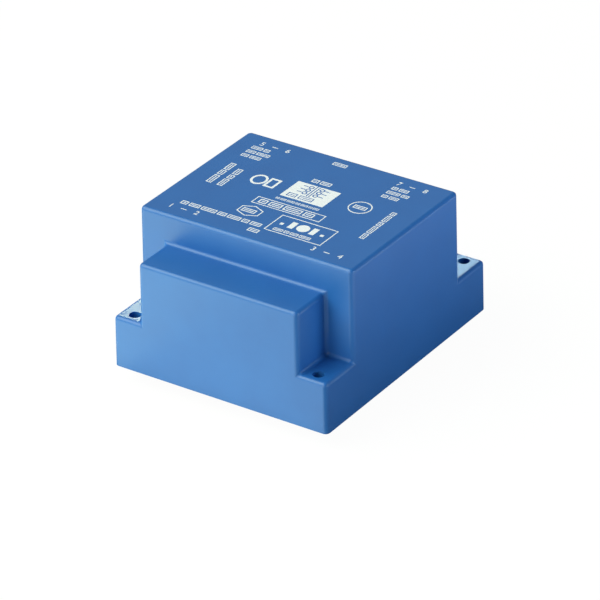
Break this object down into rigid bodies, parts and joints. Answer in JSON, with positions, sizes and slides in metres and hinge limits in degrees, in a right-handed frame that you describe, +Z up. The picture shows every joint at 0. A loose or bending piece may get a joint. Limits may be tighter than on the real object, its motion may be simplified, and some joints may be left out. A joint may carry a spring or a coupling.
{
  "type": "pcb transformer",
  "caption": "Low-profile potted transformer for circuit boards, in a stepped blue moulded casing with screw lugs at its corners and solder pins below.",
  "frame": {"origin": "middle of the casing's footprint, in the plane of its rim, where it meets the circuit board", "axes": "+X across the two coils, -Y towards the primary pins at the front, +Y towards the secondary pins, +Z up to the top face"},
  "size_m": [0.0594, 0.0684, 0.0409],
  "materials": {
    "casing": "moulded, semi-gloss",
    "resin": "cast, smooth",
    "steel_sheets": "rolled, punched",
    "bobbin_nylon": "moulded, satin",
    "copper_wire": "enamelled, glossy",
    "tape": "smooth film",
    "tinned_pins": "hot tinned",
    "print": "pad-printed ink"
  },
  "bodies": {
    "root": {"casing": "casing", "potting_resin": "resin", "u_laminations": "steel_sheets", "i_laminations": "steel_sheets", "bobbin_left": "bobbin_nylon", "bobbin_right": "bobbin_nylon", "primary_winding_left": "copper_wire", "primary_winding_right": "copper_wire", "secondary_winding_left": "copper_wire", "secondary_winding_right": "copper_wire", "primary_tape_left": "tape", "primary_tape_right": "tape", "secondary_tape_left": "tape", "secondary_tape_right": "tape", "pin_1": "tinned_pins", "pin_2": "tinned_pins", "pin_3": "tinned_pins", "pin_4": "tinned_pins", "pin_5": "tinned_pins", "pin_6": "tinned_pins", "pin_7": "tinned_pins", "pin_8": "tinned_pins"}
  },
  "joints": []
}
